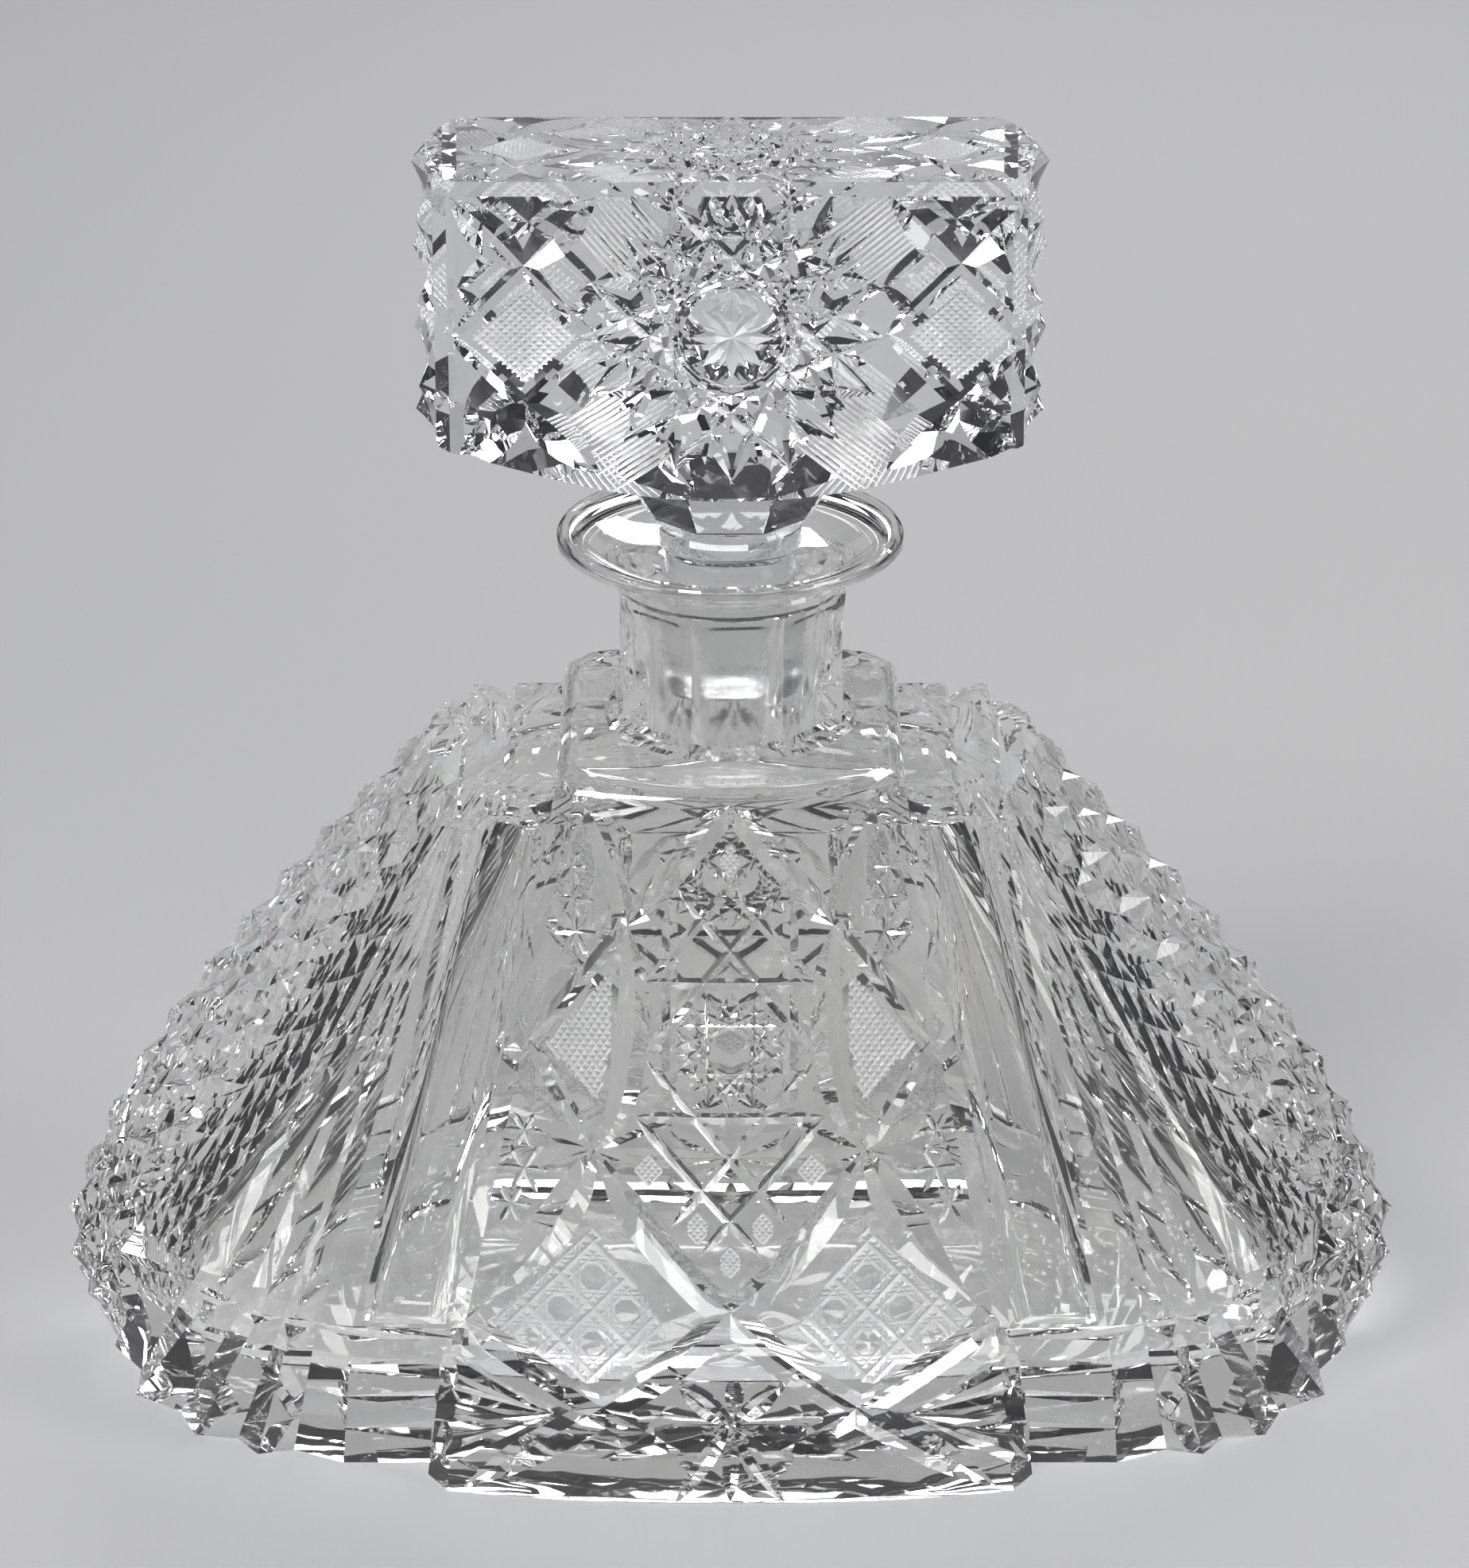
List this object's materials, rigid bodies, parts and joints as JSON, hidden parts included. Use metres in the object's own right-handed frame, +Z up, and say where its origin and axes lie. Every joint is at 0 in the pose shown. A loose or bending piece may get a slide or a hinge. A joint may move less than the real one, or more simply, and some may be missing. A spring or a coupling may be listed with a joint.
{
  "type": "glass decanter",
  "caption": "Wide low cut glass decanter with fan-fluted shoulders, diamond-cut ends, octagonal neck, flared lip and a rectangular cut stopper that lifts out.",
  "frame": {"origin": "middle of the flat underside", "axes": "+Z up along the neck, +X along the wide side, -Y towards the viewer of the front panel"},
  "size_m": [0.226, 0.1182, 0.212],
  "materials": {
    "body_glass": "polished cut lead crystal with a slight lime haze inside",
    "stopper_glass": "polished cut lead crystal with a ground matt peg"
  },
  "bodies": {
    "body": {"decanter_body": "body_glass"},
    "stopper": {"stopper": "stopper_glass"}
  },
  "joints": [
    {"name": "stopper_lift", "type": "slide", "parent": "body", "child": "stopper", "axis": [0, 0, 1], "range_m": [0, 0.045]}
  ]
}
